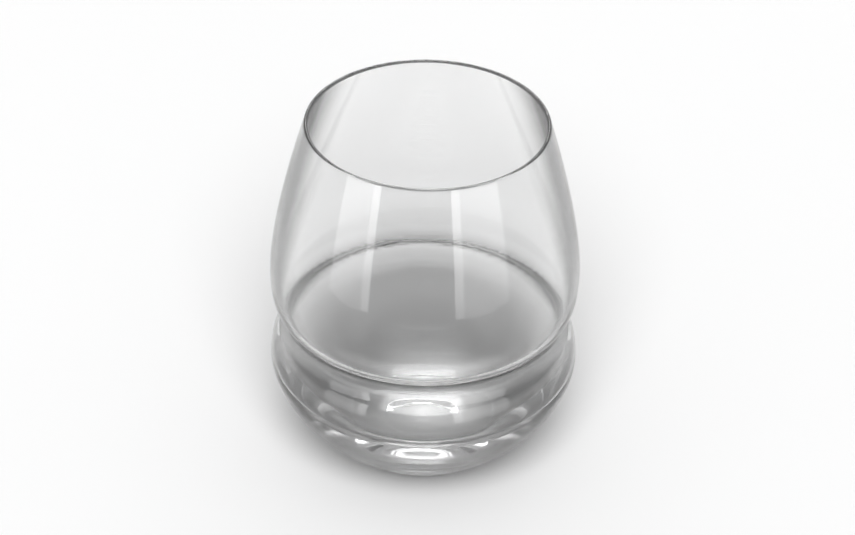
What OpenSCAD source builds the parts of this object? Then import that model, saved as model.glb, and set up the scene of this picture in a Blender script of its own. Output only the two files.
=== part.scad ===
// Stemless wine glass, blown in one piece of clear glass: two bulbs pinched
// apart at a waist, a mouth that closes in to a fire-polished rim, and a thick
// base with a push-up inside its foot ring.
// The origin is at the centre of the foot, and +Z runs up the axis.

/* [Mouth] */
// Height from the foot to the top of the rim
glass_h = 114; // [104:0.5:126]
// Outer diameter of the rim
mouth_d = 73.4; // [66:0.2:82]
// Thickness of the rounded rim
rim_t = 1.3; // [0.9:0.1:2.2]
// Lean of the wall where it meets the rim, in degrees from upright
mouth_lean = 17.5; // [8:0.5:24]

/* [Upper bulb] */
// Outer diameter of the upper bulb at its widest level
upper_d = 95; // [91:0.5:102]
// Height of that widest level
upper_z = 62; // [58:0.5:72]
// Thickness of the wall at that level
upper_wall = 1.6; // [1:0.1:3]

/* [Waist] */
// Outer diameter at the bottom of the groove
waist_d = 87; // [84:0.2:90]
// Height of the groove
waist_z = 45.8; // [44:0.2:48]
// Radius of the groove, seen from the side
groove_r = 7; // [3:0.5:9]
// Slope of the wall just above the groove, in degrees from upright
slope_above = 40; // [30:1:45]
// Slope of the wall just below the groove, in degrees from upright
slope_below = 41; // [30:1:46]
// Thickness of the wall at the groove
waist_wall = 1.9; // [1:0.1:3]

/* [Lower bulb] */
// Outer diameter of the lower bulb at its widest level
lower_d = 95.5; // [91:0.5:102]
// Height of that widest level
lower_z = 31.6; // [28:0.2:34]
// Thickness of the wall at that level
lower_wall = 1.6; // [1.2:0.1:3]

/* [Base] */
// Outer diameter of the flat ring that the glass stands on
foot_d = 48; // [40:0.5:56]
// Width of that ring
foot_ring_w = 11.5; // [6:0.5:14]
// Height of the push-up at the centre of the base
push_up_h = 3; // [1:0.1:4]
// Thickness of the base at its centre
base_t = 6; // [3:0.1:9]

/* [Hidden] */

round_steps = 128;
curve_steps = 16;
arc_steps = 10;

// Handles of the curves, as shares of the height or width that each one spans
mouth_handle_share = 0.30;
shoulder_handle_share = 0.25;
waist_in_handle_share = 0.42;
waist_top_handle_share = 0.26;
waist_low_handle_share = 0.19;
waist_out_handle_share = 0.37;
side_handle_share = 0.43;
foot_handle_share = 0.16;
heel_handle_share = 0.35;
floor_handle_share = 0.65;
push_up_edge_share = 0.30;
push_up_top_share = 0.50;

rim_r = rim_t / 2;
rim_centre = [mouth_d / 2 - rim_r, glass_h - rim_r];
floor_z = push_up_h + base_t;
foot_r = foot_d / 2;
push_up_r = foot_r - foot_ring_w;

// Points along a cubic curve from a to d, with handles b and c.
function curve(a, b, c, d, steps = curve_steps) = [
    for (i = [0:steps])
        let (t = i / steps, s = 1 - t)
            s * s * s * a + 3 * s * s * t * b + 3 * s * t * t * c + t * t * t * d
];

// Points along an arc about a centre, from one angle to another.
function arc(centre, r, from, to, steps = arc_steps) = [
    for (i = [0:steps])
        let (angle = from + (to - from) * i / steps)
            centre + r * [cos(angle), sin(angle)]
];

// The same points without the first, for joining a line to the one before it.
function after_first(points) = [for (i = [1:len(points) - 1]) points[i]];

// One side of the wall, from the rim down to the lower bulb's widest level.
// The arguments are the points where it leaves the rim, is widest in the upper
// bulb, is narrowest in the waist and is widest in the lower bulb.
function wall_line(top, upper, waist, bend_r, lower) =
    let (
        bend_centre = waist + [bend_r, 0],
        bend = arc(bend_centre, bend_r, 180 - slope_above, 180 + slope_below),
        bend_top = bend[0],
        bend_end = bend[len(bend) - 1],
        rise = top.y - upper.y,
        above = upper.y - bend_top.y,
        below = bend_end.y - lower.y
    )
    concat(
        curve(
            top,
            top + mouth_handle_share * rise * [sin(mouth_lean), -cos(mouth_lean)],
            upper + [0, shoulder_handle_share * rise],
            upper
        ),
        after_first(curve(
            upper,
            upper - [0, waist_in_handle_share * above],
            bend_top + waist_top_handle_share * above * [sin(slope_above), cos(slope_above)],
            bend_top
        )),
        after_first(bend),
        after_first(curve(
            bend_end,
            bend_end + waist_low_handle_share * below * [sin(slope_below), -cos(slope_below)],
            lower + [0, waist_out_handle_share * below],
            lower
        ))
    );

outer_lower = [lower_d / 2, lower_z];
inner_lower = outer_lower - [lower_wall, 0];

outer_wall = wall_line(
    rim_centre + rim_r * [cos(mouth_lean), sin(mouth_lean)],
    [upper_d / 2, upper_z],
    [waist_d / 2, waist_z],
    groove_r,
    outer_lower
);

inner_wall = wall_line(
    rim_centre - rim_r * [cos(mouth_lean), sin(mouth_lean)],
    [upper_d / 2 - upper_wall, upper_z],
    [waist_d / 2 - waist_wall, waist_z],
    groove_r + waist_wall,
    inner_lower
);

// Rounded rim, over the top from the inside to the outside.
rim = arc(rim_centre, rim_r, mouth_lean + 180, mouth_lean);

// Outside of the lower bulb, down to the edge of the foot.
outer_base = curve(
    outer_lower,
    outer_lower - [0, side_handle_share * lower_z],
    [foot_r + foot_handle_share * (lower_d / 2 - foot_r), 0],
    [foot_r, 0]
);

// Underside of the push-up, from the foot ring to the axis.
push_up = curve(
    [push_up_r, 0],
    [(1 - push_up_edge_share) * push_up_r, push_up_h / 2],
    [push_up_top_share * push_up_r, push_up_h],
    [0, push_up_h]
);

// Inside of the lower bulb, from the middle of the floor up to the wall.
inner_base = curve(
    [0, floor_z],
    [floor_handle_share * inner_lower.x, floor_z],
    inner_lower - [0, heel_handle_share * (lower_z - floor_z)],
    inner_lower
);

function reversed(points) = [for (i = [len(points) - 1:-1:0]) points[i]];

module glass() {
    color("silver", 0.4)
        rotate_extrude($fn = round_steps)
            polygon(concat(
                outer_wall,
                after_first(outer_base),
                push_up,
                inner_base,
                after_first(reversed(inner_wall)),
                after_first(reversed(after_first(reversed(rim))))
            ));
}

glass();
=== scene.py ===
"""Looks for the stemless wine glass: one piece of clear blown glass on a pale studio floor."""
import math

import bmesh
import bpy
from mathutils import Matrix, Vector


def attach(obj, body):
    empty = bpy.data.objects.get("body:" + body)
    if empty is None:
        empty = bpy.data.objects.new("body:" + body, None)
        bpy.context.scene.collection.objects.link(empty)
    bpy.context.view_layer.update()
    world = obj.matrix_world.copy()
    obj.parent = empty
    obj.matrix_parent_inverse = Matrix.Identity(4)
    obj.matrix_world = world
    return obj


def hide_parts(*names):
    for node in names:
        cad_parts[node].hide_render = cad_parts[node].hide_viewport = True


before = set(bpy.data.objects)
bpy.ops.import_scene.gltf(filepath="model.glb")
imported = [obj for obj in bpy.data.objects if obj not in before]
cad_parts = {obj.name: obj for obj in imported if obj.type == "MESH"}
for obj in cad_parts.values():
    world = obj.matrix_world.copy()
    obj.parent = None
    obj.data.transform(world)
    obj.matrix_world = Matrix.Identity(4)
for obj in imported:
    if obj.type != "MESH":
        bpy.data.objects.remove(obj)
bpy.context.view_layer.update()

MM = 0.001

# Sizes in millimetres, the same as in the part's source
GLASS_H = 114.0
MOUTH_D = 73.4
RIM_T = 1.3
MOUTH_LEAN = 17.5
UPPER_D = 95.0
UPPER_Z = 62.0
UPPER_WALL = 1.6
WAIST_D = 87.0
WAIST_Z = 45.8
GROOVE_R = 7.0
SLOPE_ABOVE = 40.0
SLOPE_BELOW = 41.0
WAIST_WALL = 1.9
LOWER_D = 95.5
LOWER_Z = 31.6
LOWER_WALL = 1.6
FOOT_D = 48.0
FOOT_RING_W = 11.5
PUSH_UP_H = 3.0
BASE_T = 6.0

# Handles of the curves, as shares of the height or width that each one spans
MOUTH_HANDLE = 0.30
SHOULDER_HANDLE = 0.25
WAIST_IN_HANDLE = 0.42
WAIST_TOP_HANDLE = 0.26
WAIST_LOW_HANDLE = 0.19
WAIST_OUT_HANDLE = 0.37
SIDE_HANDLE = 0.43
FOOT_HANDLE = 0.16
HEEL_HANDLE = 0.35
FLOOR_HANDLE = 0.65
PUSH_UP_EDGE = 0.30
PUSH_UP_TOP = 0.50

# How finely the outline and its turn are cut
LONG_STEPS = 44
SHORT_STEPS = 22
BASE_STEPS = 52
RING_STEPS = 8
PUSH_UP_STEPS = 26
BEND_STEPS = 18
RIM_STEPS = 16
TURN_STEPS = 256

# A point of the outline with a smaller radius than this, in millimetres, lies on the axis
ON_AXIS = 1e-6

# Grain of the glass, as noise scales along X, Y and Z
SLOW_WAVES = (26, 26, 60)
DRAWING_LINES = (5, 5, 420)
SMEARS = (38, 38, 22)
SCRATCHES = (900, 900, 40)

# Relief of the glass, with the waves' and the drawing lines' shares of it
RELIEF_STRENGTH = 0.35
RELIEF_DEPTH = 0.0002
WAVE_SHARE = 0.8
LINE_SHARE = 0.2

# Roughness of clean glass, and what a smear and the foot ring's wear add to it
CLEAN_ROUGH = 0.002
SMEAR_ROUGH = 0.035
WEAR_ROUGH = 0.22

# Height in metres at which the foot ring's wear has faded out
WEAR_H = 0.0006

# Colour of the glass where it is clean and smeared, and the painted shade that darkens it where it
# is seen edge on
CLEAN_TINT = (0.975, 0.977, 0.977, 1)
SMEARED_TINT = (0.955, 0.958, 0.960, 1)
EDGE_SHADE = (0.14, 0.14, 0.14, 1)

# How the body of the glass bends and absorbs light
GLASS_IOR = 1.5
ABSORPTION_TINT = (0.5, 0.5, 0.5, 1)
ABSORPTION_DENSITY = 14.0

# The floor: half its width, its small gap under the foot ring, and its matt surface
FLOOR_HALF = 3.5
FLOOR_Z = -0.0003
FLOOR_ROUGH = 0.85
TOOTH_SCALE = 1800.0
TOOTH_STRENGTH = 0.05
TOOTH_DEPTH = 0.0002

# Greys of the room above its walls, low on its walls, and in the mist at its horizon
CEILING_GREY = 0.50
LOW_WALL_GREY = 0.6
MIST_GREY = 0.97

# The key: how far it stands above the level and how wide it is, in degrees, and its power
KEY_RISE = 49
KEY_WIDTH = 40
KEY_POWER = 2.70

# How often light may bend or bounce on its way through the glass
BOUNCES = 64


def curve(a, b, c, d, steps):
    """Points along a cubic curve from a to d, with handles b and c."""
    a, b, c, d = Vector(a), Vector(b), Vector(c), Vector(d)
    points = []
    for i in range(steps + 1):
        t = i / steps
        s = 1 - t
        points.append(s * s * s * a + 3 * s * s * t * b + 3 * s * t * t * c + t * t * t * d)
    return points


def arc(centre, r, start, end, steps):
    """Points along an arc about a centre, with its angles in degrees."""
    points = []
    for i in range(steps + 1):
        angle = math.radians(start + (end - start) * i / steps)
        points.append(Vector(centre) + r * Vector((math.cos(angle), math.sin(angle))))
    return points


def wall_line(top, upper, waist, bend_r, lower):
    """One side of the wall, from the rim down to the lower bulb's widest level."""
    top, upper, waist, lower = Vector(top), Vector(upper), Vector(waist), Vector(lower)
    lean = math.radians(MOUTH_LEAN)
    slope_above = math.radians(SLOPE_ABOVE)
    slope_below = math.radians(SLOPE_BELOW)
    down_from_rim = Vector((math.sin(lean), -math.cos(lean)))
    up_from_bend = Vector((math.sin(slope_above), math.cos(slope_above)))
    down_from_bend = Vector((math.sin(slope_below), -math.cos(slope_below)))
    bend_centre = waist + Vector((bend_r, 0))
    bend = arc(bend_centre, bend_r, 180 - SLOPE_ABOVE, 180 + SLOPE_BELOW, BEND_STEPS)
    rise = top.y - upper.y
    above = upper.y - bend[0].y
    below = bend[-1].y - lower.y
    shoulder = curve(
        top,
        top + MOUTH_HANDLE * rise * down_from_rim,
        upper + Vector((0, SHOULDER_HANDLE * rise)),
        upper,
        LONG_STEPS,
    )
    into_waist = curve(
        upper,
        upper - Vector((0, WAIST_IN_HANDLE * above)),
        bend[0] + WAIST_TOP_HANDLE * above * up_from_bend,
        bend[0],
        SHORT_STEPS,
    )
    out_of_waist = curve(
        bend[-1],
        bend[-1] + WAIST_LOW_HANDLE * below * down_from_bend,
        lower + Vector((0, WAIST_OUT_HANDLE * below)),
        lower,
        SHORT_STEPS,
    )
    return shoulder + into_waist[1:] + bend[1:] + out_of_waist[1:]


def outline():
    """The wall's closed outline, as radius and height in millimetres, starting under the rim."""
    rim_r = RIM_T / 2
    rim_centre = Vector((MOUTH_D / 2 - rim_r, GLASS_H - rim_r))
    lean = math.radians(MOUTH_LEAN)
    across = rim_r * Vector((math.cos(lean), math.sin(lean)))
    foot_r = FOOT_D / 2
    push_up_r = foot_r - FOOT_RING_W
    floor_z = PUSH_UP_H + BASE_T
    outer_low = Vector((LOWER_D / 2, LOWER_Z))
    inner_low = outer_low - Vector((LOWER_WALL, 0))
    outer_wall = wall_line(
        rim_centre + across,
        (UPPER_D / 2, UPPER_Z),
        (WAIST_D / 2, WAIST_Z),
        GROOVE_R,
        outer_low,
    )
    inner_wall = wall_line(
        rim_centre - across,
        (UPPER_D / 2 - UPPER_WALL, UPPER_Z),
        (WAIST_D / 2 - WAIST_WALL, WAIST_Z),
        GROOVE_R + WAIST_WALL,
        inner_low,
    )
    rim = arc(rim_centre, rim_r, MOUTH_LEAN + 180, MOUTH_LEAN, RIM_STEPS)
    outer_base = curve(
        outer_low,
        outer_low - Vector((0, SIDE_HANDLE * LOWER_Z)),
        (foot_r + FOOT_HANDLE * (LOWER_D / 2 - foot_r), 0),
        (foot_r, 0),
        BASE_STEPS,
    )
    foot_ring = [
        Vector((foot_r + (push_up_r - foot_r) * i / RING_STEPS, 0))
        for i in range(1, RING_STEPS)
    ]
    push_up = curve(
        (push_up_r, 0),
        ((1 - PUSH_UP_EDGE) * push_up_r, PUSH_UP_H / 2),
        (PUSH_UP_TOP * push_up_r, PUSH_UP_H),
        (0, PUSH_UP_H),
        PUSH_UP_STEPS,
    )
    inner_base = curve(
        (0, floor_z),
        (FLOOR_HANDLE * inner_low.x, floor_z),
        inner_low - Vector((0, HEEL_HANDLE * (LOWER_Z - floor_z))),
        inner_low,
        BASE_STEPS,
    )
    outside = outer_wall + outer_base[1:]
    underside = foot_ring + push_up
    inside = inner_base + inner_wall[::-1][1:]
    return outside + underside + inside + rim[1:-1]


def turned(name, line):
    """A closed mesh made by turning an outline about the axis, with one point where they meet."""
    bm = bmesh.new()
    turns = [2 * math.pi * j / TURN_STEPS for j in range(TURN_STEPS)]
    loops = []
    for r, z in line:
        if r < ON_AXIS:
            places = [(0, 0, z * MM)]
        else:
            places = [(r * MM * math.cos(t), r * MM * math.sin(t), z * MM) for t in turns]
        loops.append([bm.verts.new(place) for place in places])
    for near, far in zip(loops, loops[1:] + loops[:1]):
        if len(near) == len(far) == 1:
            continue
        for j in range(TURN_STEPS):
            k = (j + 1) % TURN_STEPS
            if len(near) == 1:
                bm.faces.new((near[0], far[k], far[j]))
            elif len(far) == 1:
                bm.faces.new((near[j], near[k], far[0]))
            else:
                bm.faces.new((near[j], near[k], far[k], far[j]))
    bmesh.ops.recalc_face_normals(bm, faces=bm.faces)
    for face in bm.faces:
        face.smooth = True
    mesh = bpy.data.meshes.new(name)
    bm.to_mesh(mesh)
    bm.free()
    piece = bpy.data.objects.new(name, mesh)
    bpy.context.scene.collection.objects.link(piece)
    return piece


class Nodes:
    """Short calls for building one node tree."""

    def __init__(self, tree):
        self.tree = tree

    def put(self, socket, value):
        """Link an output to a socket, or write a value into it. None leaves it as it is."""
        if isinstance(value, bpy.types.NodeSocket):
            self.tree.links.new(value, socket)
        elif value is not None:
            socket.default_value = value

    def add(self, kind, **settings):
        node = self.tree.nodes.new(kind)
        for name, value in settings.items():
            setattr(node, name, value)
        return node

    def place(self, kind):
        """The place on the surface or in the sky, in one of Blender's coordinates."""
        return self.add("ShaderNodeTexCoord").outputs[kind]

    def split(self, vector):
        node = self.add("ShaderNodeSeparateXYZ")
        self.put(node.inputs[0], vector)
        return node.outputs

    def math(self, operation, a, b=None):
        node = self.add("ShaderNodeMath", operation=operation)
        self.put(node.inputs[0], a)
        self.put(node.inputs[1], b)
        return node.outputs[0]

    def ramp(self, value, stops):
        """A value turned into a grey, by stops of a value and the grey there."""
        node = self.add("ShaderNodeValToRGB")
        self.put(node.inputs[0], value)
        elements = node.color_ramp.elements
        elements.remove(elements[-1])
        for i, (place, grey) in enumerate(stops):
            element = elements[0] if i == 0 else elements.new(place)
            element.position = place
            element.color = (grey, grey, grey, 1)
        return node.outputs[0]

    def noise(self, where, scale, detail=2.0, rough=0.5, distortion=0.0):
        node = self.add("ShaderNodeTexNoise")
        self.put(node.inputs["Vector"], where)
        self.put(node.inputs["Scale"], scale)
        self.put(node.inputs["Detail"], detail)
        self.put(node.inputs["Roughness"], rough)
        self.put(node.inputs["Distortion"], distortion)
        return node.outputs[0]

    def grain(self, where, scales, **settings):
        """Noise that is stretched, by its own scale along each axis."""
        node = self.add("ShaderNodeMapping")
        self.put(node.inputs["Vector"], where)
        self.put(node.inputs["Scale"], scales)
        return self.noise(node.outputs[0], 1.0, **settings)

    def bump(self, strength, distance, height):
        node = self.add("ShaderNodeBump")
        self.put(node.inputs["Strength"], strength)
        self.put(node.inputs["Distance"], distance)
        self.put(node.inputs["Height"], height)
        return node.outputs[0]

    def mix(self, share, a, b):
        """A number between a and b."""
        node = self.add("ShaderNodeMix", data_type="FLOAT")
        self.put(node.inputs[0], share)
        self.put(node.inputs[2], a)
        self.put(node.inputs[3], b)
        return node.outputs[0]

    def blend(self, share, a, b):
        """A colour between a and b."""
        node = self.add("ShaderNodeMix", data_type="RGBA")
        self.put(node.inputs[0], share)
        self.put(node.inputs[6], a)
        self.put(node.inputs[7], b)
        return node.outputs[2]


def material(name):
    """A new material, its nodes, its shader and its output."""
    made = bpy.data.materials.new(name)
    made.use_nodes = True
    tree = made.node_tree
    return made, Nodes(tree), tree.nodes["Principled BSDF"], tree.nodes["Material Output"]


def glass_material():
    """Clear blown glass: slightly wavy, with faint wiping marks and a worn foot ring."""
    made, n, shader, out = material("blown_glass")
    place = n.place("Object")
    _, _, height = n.split(place)

    # Slow waves that blown glass has, longer round the axis than up it, and fine drawing lines
    waves = n.math("MULTIPLY", n.grain(place, SLOW_WAVES, detail=1.5), WAVE_SHARE)
    lines = n.math("MULTIPLY", n.grain(place, DRAWING_LINES, detail=2.0), LINE_SHARE)
    relief = n.bump(RELIEF_STRENGTH, RELIEF_DEPTH, n.math("ADD", waves, lines))
    n.put(shader.inputs["Normal"], relief)

    # Faint smears left by wiping, and the ring that slides on tables
    smear = n.grain(place, SMEARS, detail=6.0, rough=0.6, distortion=0.8)
    smear = n.ramp(smear, ((0.55, 0.0), (0.80, 1.0)))
    scratch = n.ramp(n.grain(place, SCRATCHES, detail=4.0, rough=0.7), ((0.35, 0.2), (0.65, 1.0)))
    at_foot = n.ramp(n.math("DIVIDE", height, WEAR_H), ((0.0, 1.0), (1.0, 0.0)))
    wear = n.math("MULTIPLY", at_foot, scratch)
    smear_rough = n.math("MULTIPLY", smear, SMEAR_ROUGH)
    wear_rough = n.math("MULTIPLY", wear, WEAR_ROUGH)
    rough = n.math("ADD", n.math("ADD", smear_rough, wear_rough), CLEAN_ROUGH)
    n.put(shader.inputs["Roughness"], rough)

    # Painted shade: the colour darkens towards a deep grey where the wall is seen edge on, so that
    # the edges look shaded
    facing = n.add("ShaderNodeLayerWeight").outputs["Facing"]
    edge_shade = n.ramp(facing, ((0.48, 0.0), (0.76, 1.0)))
    tint = n.blend(smear, CLEAN_TINT, SMEARED_TINT)
    n.put(shader.inputs["Base Color"], n.blend(edge_shade, tint, EDGE_SHADE))
    shader.inputs["Transmission Weight"].default_value = 1.0
    shader.inputs["IOR"].default_value = GLASS_IOR

    body = n.add("ShaderNodeVolumeAbsorption")
    body.inputs["Color"].default_value = ABSORPTION_TINT
    body.inputs["Density"].default_value = ABSORPTION_DENSITY
    n.put(out.inputs["Volume"], body.outputs[0])
    return made


def floor_material():
    """Matt white card, with faint clouds and a very faint tooth."""
    made, n, shader, _ = material("white_card")
    place = n.place("Object")
    cloud = n.ramp(n.noise(place, 3.0, detail=3.0), ((0.3, 0.925), (0.7, 0.935)))
    tooth = n.bump(TOOTH_STRENGTH, TOOTH_DEPTH, n.noise(place, TOOTH_SCALE))
    n.put(shader.inputs["Base Color"], cloud)
    n.put(shader.inputs["Normal"], tooth)
    shader.inputs["Roughness"].default_value = FLOOR_ROUGH
    shader.inputs["Specular IOR Level"].default_value = 0.0
    return made


def make_floor():
    mesh = bpy.data.meshes.new("floor")
    corners = [
        (x * FLOOR_HALF, y * FLOOR_HALF, FLOOR_Z)
        for x, y in ((-1, -1), (1, -1), (1, 1), (-1, 1))
    ]
    mesh.from_pydata(corners, [], [(0, 1, 2, 3)])
    mesh.materials.append(floor_material())
    piece = bpy.data.objects.new("floor", mesh)
    bpy.context.scene.collection.objects.link(piece)


def make_world():
    """A dim grey room, darkest at the sides and brighter behind, with white mist at its horizon."""
    world = bpy.data.worlds.new("studio")
    world.use_nodes = True
    bpy.context.scene.world = world
    n = Nodes(world.node_tree)
    x, y, z = n.split(n.place("Generated"))
    from_front_to_back = n.math("ADD", n.math("MULTIPLY", y, 0.5), 0.5)
    depth = n.ramp(from_front_to_back, ((0.2, 0.42), (0.8, 0.60)))
    side = n.ramp(n.math("ABSOLUTE", x), ((0.35, 1.0), (0.8, 0.25)))
    wall = n.math("MULTIPLY", depth, side)
    ceiling = n.ramp(z, ((0.6, 0.0), (0.8, 1.0)))
    low_wall = n.ramp(z, ((0.14, 1.0), (0.22, 0.0)))
    mist = n.ramp(z, ((0.0, 1.0), (0.04, 0.5), (0.09, 0.0)))
    room = n.mix(ceiling, wall, CEILING_GREY)
    room = n.mix(low_wall, room, LOW_WALL_GREY)
    room = n.mix(mist, room, MIST_GREY)
    n.put(world.node_tree.nodes["Background"].inputs[0], room)


def around(turn, rise, away):
    """A place round the glass: turn is 0 on the camera's side and 180 behind."""
    turn, rise = math.radians(turn), math.radians(rise)
    level = away * math.cos(rise)
    return Vector((level * math.sin(turn), -level * math.cos(turn), away * math.sin(rise)))


def lamp(name, kind, place, target, power):
    """A lamp that the camera doesn't see, turned towards a target."""
    light = bpy.data.lights.new(name, kind)
    light.energy = power
    piece = bpy.data.objects.new(name, light)
    piece.location = place
    piece.rotation_euler = (Vector(target) - Vector(place)).to_track_quat("-Z", "Y").to_euler()
    piece.visible_camera = False
    bpy.context.scene.collection.objects.link(piece)
    return piece


def make_key():
    """The broad key, which lights the floor and throws the soft shadow behind the glass."""
    key = lamp("key", "SUN", around(0, KEY_RISE, 2), (0, 0, 0), KEY_POWER)
    key.data.angle = math.radians(KEY_WIDTH)
    key.visible_glossy = False
    key.visible_transmission = False


def make_pool():
    """The light that the thick base gathers under it: a bright core and a wide glow."""
    shaded = bpy.data.collections.new("shaded_from_pool")
    shaded.objects.link(bpy.data.objects["floor"])
    source = (0.05, 0.05, 1.2)
    for name, target, spread, power in (
        ("pool_core", (0.005, 0.012, 0), 2.0, 32),
        ("pool_glow", (0, 0.004, 0), 3.2, 20),
    ):
        pool = lamp(name, "SPOT", source, target, power)
        pool.data.spot_size = math.radians(spread)
        pool.data.spot_blend = 1.0
        pool.data.shadow_soft_size = 0.01
        pool.visible_glossy = False
        pool.visible_transmission = False
        pool.light_linking.blocker_collection = shaded


def soft_box(name, place, target, width, height, power, across, upward):
    """A lamp that is only seen in the glass, with its face faded across and up it."""
    piece = lamp(name, "AREA", place, target, power)
    light = piece.data
    light.shape = "RECTANGLE"
    light.size = width
    light.size_y = height
    light.use_nodes = True
    piece.visible_diffuse = False
    n = Nodes(light.node_tree)
    right, up, _ = n.split(n.add("ShaderNodeNewGeometry").outputs["Parametric"])
    face = n.math("MULTIPLY", n.ramp(right, across), n.ramp(up, upward))
    n.put(light.node_tree.nodes["Emission"].inputs["Strength"], face)
    return piece


def make_soft_boxes():
    """Two strips that draw the upright bands, and three boxes that draw the glints of the base."""
    bulb = (0, 0, 0.055)
    base = (0, 0, 0.02)
    strip_rise, strip_away, strip_height = 16, 0.27, 0.15
    crisp = ((0.0, 0.0), (0.1, 1.0), (0.9, 1.0), (1.0, 0.0))
    soft = ((0.0, 0.0), (0.3, 1.0), (0.7, 1.0), (1.0, 0.0))
    rising = ((0.0, 0.45), (0.35, 0.9), (0.6, 1.0))
    bright_at_right = ((0.0, 0.0), (0.07, 0.5), (0.78, 0.5), (0.83, 1.0), (0.96, 1.0), (1.0, 0.0))
    bright_at_left = ((0.0, 0.0), (0.04, 1.0), (0.16, 1.0), (0.20, 0.5), (0.94, 0.5), (1.0, 0.0))
    for name, turn, width, power, across in (
        ("strip_left", -51.5, 0.150, 0.40, bright_at_right),
        ("strip_right", 39.0, 0.190, 0.48, bright_at_left),
    ):
        place = around(turn, strip_rise, strip_away)
        strip = soft_box(name, place, bulb, width, strip_height, power, across, rising)
        strip.visible_transmission = False
    soft_box("overhead", (0, 0.32, 1.2), base, 1.0, 0.8, 6, soft, soft)
    soft_box("high_back", (0, 0.85, 1.1), base, 2.6, 0.45, 8, soft, soft)
    soft_box("low_back", around(180, 43, 2), base, 0.7, 0.9, 9, crisp, crisp)


def make_camera():
    """The photograph's view, from a fit of the rim and both bulbs."""
    # Distance and height of what it looks at, in millimetres, and its rise and roll
    away = 800.0
    aim_z = 50
    rise, roll = math.radians(35.73), math.radians(1.07)
    # The photo's frame, where the aim lies in it, and half the upper bulb's width, in pixels
    wide, high = 855, 535
    centre_x, centre_y = 424.41, 298.08
    upper_half_wide = 153.44
    scale = upper_half_wide / (UPPER_D / 2)
    place = Vector((0, -away * math.cos(rise), aim_z + away * math.sin(rise))) * MM
    ahead = Vector((0, math.cos(rise), -math.sin(rise)))
    right = Vector((1, 0, 0))
    up = right.cross(ahead)
    x = right * math.cos(roll) + up * math.sin(roll)
    y = up * math.cos(roll) - right * math.sin(roll)
    z = -ahead
    data = bpy.data.cameras.new("camera")
    data.sensor_width = 36.0
    data.lens = scale * away * data.sensor_width / wide
    data.shift_x = (wide / 2 - centre_x) / wide
    data.shift_y = (centre_y - high / 2) / wide
    data.clip_start, data.clip_end = 0.01, 50
    piece = bpy.data.objects.new("camera", data)
    piece.matrix_world = Matrix((
        (x.x, y.x, z.x, place.x),
        (x.y, y.y, z.y, place.y),
        (x.z, y.z, z.z, place.z),
        (0, 0, 0, 1),
    ))
    bpy.context.scene.collection.objects.link(piece)
    bpy.context.scene.camera = piece


make_camera()

glass = turned("wine_glass", outline())
glass.data.materials.append(glass_material())
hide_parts("glass")
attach(glass, "root")

make_floor()
make_world()
make_key()
make_pool()
make_soft_boxes()

scene = bpy.context.scene
scene.view_settings.view_transform = "Standard"
scene.cycles.max_bounces = BOUNCES
scene.cycles.transmission_bounces = BOUNCES
scene.cycles.glossy_bounces = BOUNCES
scene.cycles.transparent_max_bounces = BOUNCES
scene.cycles.caustics_refractive = False
scene.cycles.caustics_reflective = False
